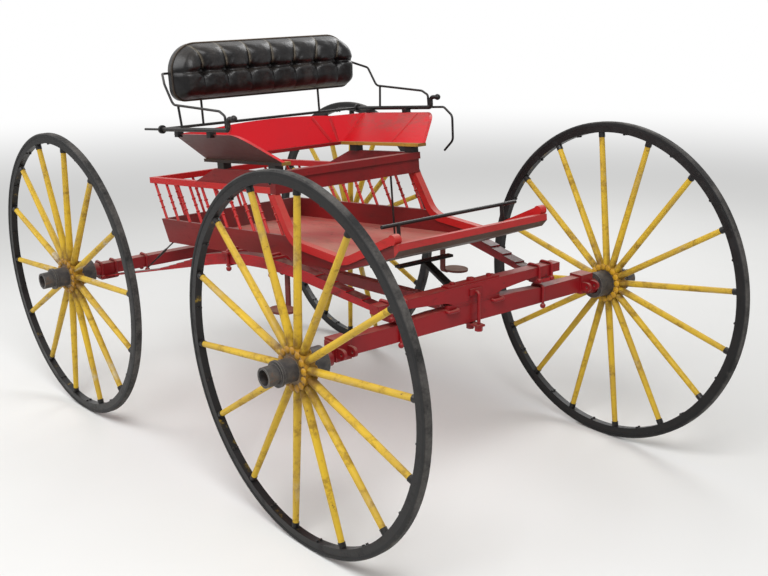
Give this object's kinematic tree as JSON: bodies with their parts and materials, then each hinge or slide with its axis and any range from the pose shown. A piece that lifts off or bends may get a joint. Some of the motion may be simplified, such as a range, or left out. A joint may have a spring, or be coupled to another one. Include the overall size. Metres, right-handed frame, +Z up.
{
  "type": "doctor buggy",
  "caption": "Light four-wheel horse-drawn carriage with tall spoked wheels, side springs, a low spindled body, a flared seat and a tufted back cushion.",
  "frame": {"origin": "on the ground, under the middle of the bounding box", "axes": "+X forwards, +Y to the vehicle's left, +Z up"},
  "size_m": [2.7548, 1.68, 1.4931],
  "materials": {
    "tyre_rubber": "black solid rubber, dusty",
    "yellow_wood": "worn yellow paint, the felloe black",
    "hub_iron": "dark grey worn paint",
    "red_wood": "worn dark red paint",
    "red_iron": "worn dark red paint",
    "black_iron": "black iron",
    "step_iron": "rusty red iron",
    "body_wood": "worn red paint",
    "yellow_strip_wood": "worn yellow paint",
    "backrest_leather": "black tufted leather",
    "backrest_board_wood": "black paint"
  },
  "bodies": {
    "carriage": {"arm_rails": "black_iron", "back_posts": "black_iron", "backrest": "backrest_leather", "backrest_board": "backrest_board_wood", "body_stop": "red_iron", "bolster": "red_wood", "bolster_top_plate": "red_iron", "end_clips": "red_iron", "floor": "body_wood", "foot_rail": "black_iron", "front_lip": "body_wood", "hanger_bars": "red_iron", "hook_rod": "black_iron", "kingbolt": "red_iron", "kingbolt_yoke": "red_iron", "prop_rod": "black_iron", "reach": "red_wood", "rear_axle": "red_wood", "seat_beam": "body_wood", "seat_feet": "black_iron", "seat_irons": "black_iron", "seat_rear_strip": "body_wood", "seat_riser": "body_wood", "seat_side_strips": "yellow_strip_wood", "seat_walls": "body_wood", "side_mouldings": "body_wood", "side_panels": "body_wood", "side_springs": "red_iron", "spindles": "body_wood", "spring_clips": "black_iron", "spring_saddles": "red_wood", "steps": "step_iron", "tail_panel": "body_wood", "tail_stays": "black_iron", "toe_board": "body_wood", "top_rail": "body_wood", "upper_fifth_plate": "black_iron"},
    "front_gear": {"front_axle": "red_wood", "lower_fifth_plate": "black_iron", "front_axle_clips": "red_iron", "shaft_couplings": "red_iron", "axle_guides": "red_iron"},
    "wheel_front_right_body": {"tyre_front_right": "tyre_rubber", "wheel_front_right": "yellow_wood", "hub_front_right": "hub_iron"},
    "wheel_front_left_body": {"tyre_front_left": "tyre_rubber", "wheel_front_left": "yellow_wood", "hub_front_left": "hub_iron"},
    "wheel_rear_right_body": {"tyre_rear_right": "tyre_rubber", "wheel_rear_right": "yellow_wood", "hub_rear_right": "hub_iron"},
    "wheel_rear_left_body": {"tyre_rear_left": "tyre_rubber", "wheel_rear_left": "yellow_wood", "hub_rear_left": "hub_iron"}
  },
  "joints": [
    {"name": "steering", "type": "hinge", "parent": "carriage", "child": "front_gear", "pos_m": [0.7775, 0, 0.66417], "axis": [0, 0, 1], "range_deg": [-17.5, 17.5]},
    {"name": "front_right_spin", "type": "hinge", "parent": "front_gear", "child": "wheel_front_right_body", "pos_m": [0.7775, -0.715, 0.60016], "axis": [0, 0.9994, 0.0349], "continuous": true},
    {"name": "front_left_spin", "type": "hinge", "parent": "front_gear", "child": "wheel_front_left_body", "pos_m": [0.7775, 0.715, 0.60016], "axis": [0, 0.9994, -0.0349], "continuous": true},
    {"name": "rear_right_spin", "type": "hinge", "parent": "carriage", "child": "wheel_rear_right_body", "pos_m": [-0.8025, -0.715, 0.57517], "axis": [0, 0.9994, 0.0349], "continuous": true},
    {"name": "rear_left_spin", "type": "hinge", "parent": "carriage", "child": "wheel_rear_left_body", "pos_m": [-0.8025, 0.715, 0.57517], "axis": [0, 0.9994, -0.0349], "continuous": true}
  ]
}
